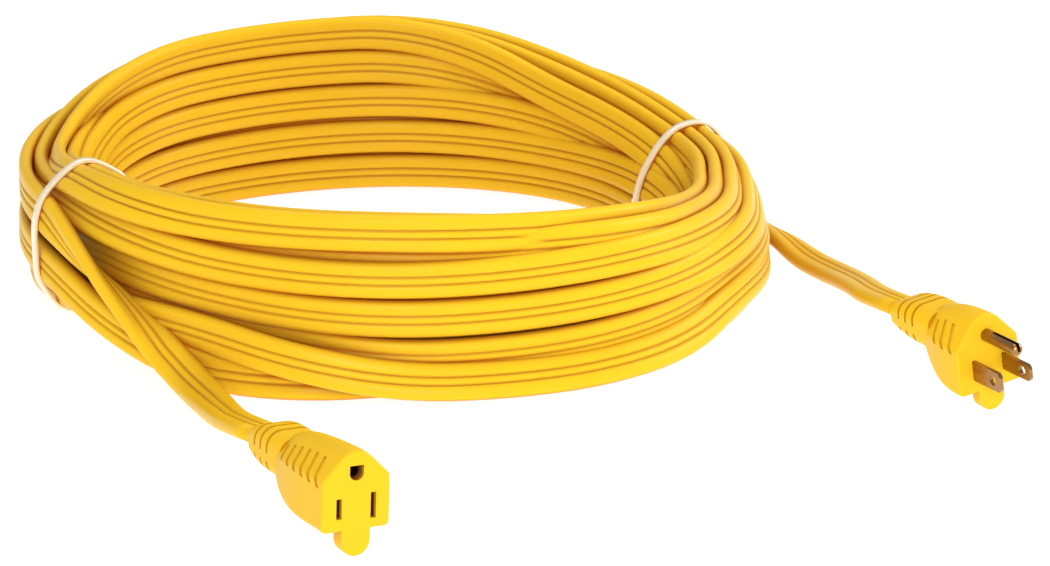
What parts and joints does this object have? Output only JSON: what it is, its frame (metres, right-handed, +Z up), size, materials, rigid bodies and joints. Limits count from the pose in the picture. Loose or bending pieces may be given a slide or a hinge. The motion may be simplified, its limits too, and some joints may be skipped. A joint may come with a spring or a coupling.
{
  "type": "extension cord",
  "caption": "Flat grounded extension cord wound into a round coil and held by clear ties, with a moulded blade plug on one loose end and a moulded outlet connector on the other.",
  "frame": {"origin": "middle of the footprint, on the surface that the cord lies on", "axes": "+Z up; -Y is the way the plug's blades and the connector's face both point; +X from the connector's side to the plug's"},
  "size_m": [0.3153, 0.416, 0.0728],
  "materials": {
    "cord_vinyl": "satin soft vinyl",
    "moulded_vinyl": "satin",
    "carrier_plastic": "matte",
    "brass": "stamped",
    "copper": "bare stranded copper",
    "line_insulation": "smooth",
    "neutral_insulation": "smooth",
    "ground_insulation": "smooth",
    "clear_tie": "clear nylon"
  },
  "bodies": {
    "root": {"connector_back_plate": "carrier_plastic", "connector_body": "moulded_vinyl", "connector_contact_housing": "carrier_plastic", "connector_ground_contact": "brass", "connector_ground_copper": "copper", "connector_ground_insulation": "ground_insulation", "connector_jacket_end": "cord_vinyl", "connector_line_contact": "brass", "connector_line_copper": "copper", "connector_line_insulation": "line_insulation", "connector_neutral_contact": "brass", "connector_neutral_copper": "copper", "connector_neutral_insulation": "neutral_insulation", "connector_tail": "cord_vinyl", "cord_coil": "cord_vinyl", "plug_blade_carrier": "carrier_plastic", "plug_body": "moulded_vinyl", "plug_ground_copper": "copper", "plug_ground_insulation": "ground_insulation", "plug_ground_pin": "brass", "plug_jacket_end": "cord_vinyl", "plug_line_blade": "brass", "plug_line_copper": "copper", "plug_line_insulation": "line_insulation", "plug_neutral_blade": "brass", "plug_neutral_copper": "copper", "plug_neutral_insulation": "neutral_insulation", "plug_tail": "cord_vinyl", "tie_left": "clear_tie", "tie_right": "clear_tie"}
  },
  "joints": []
}
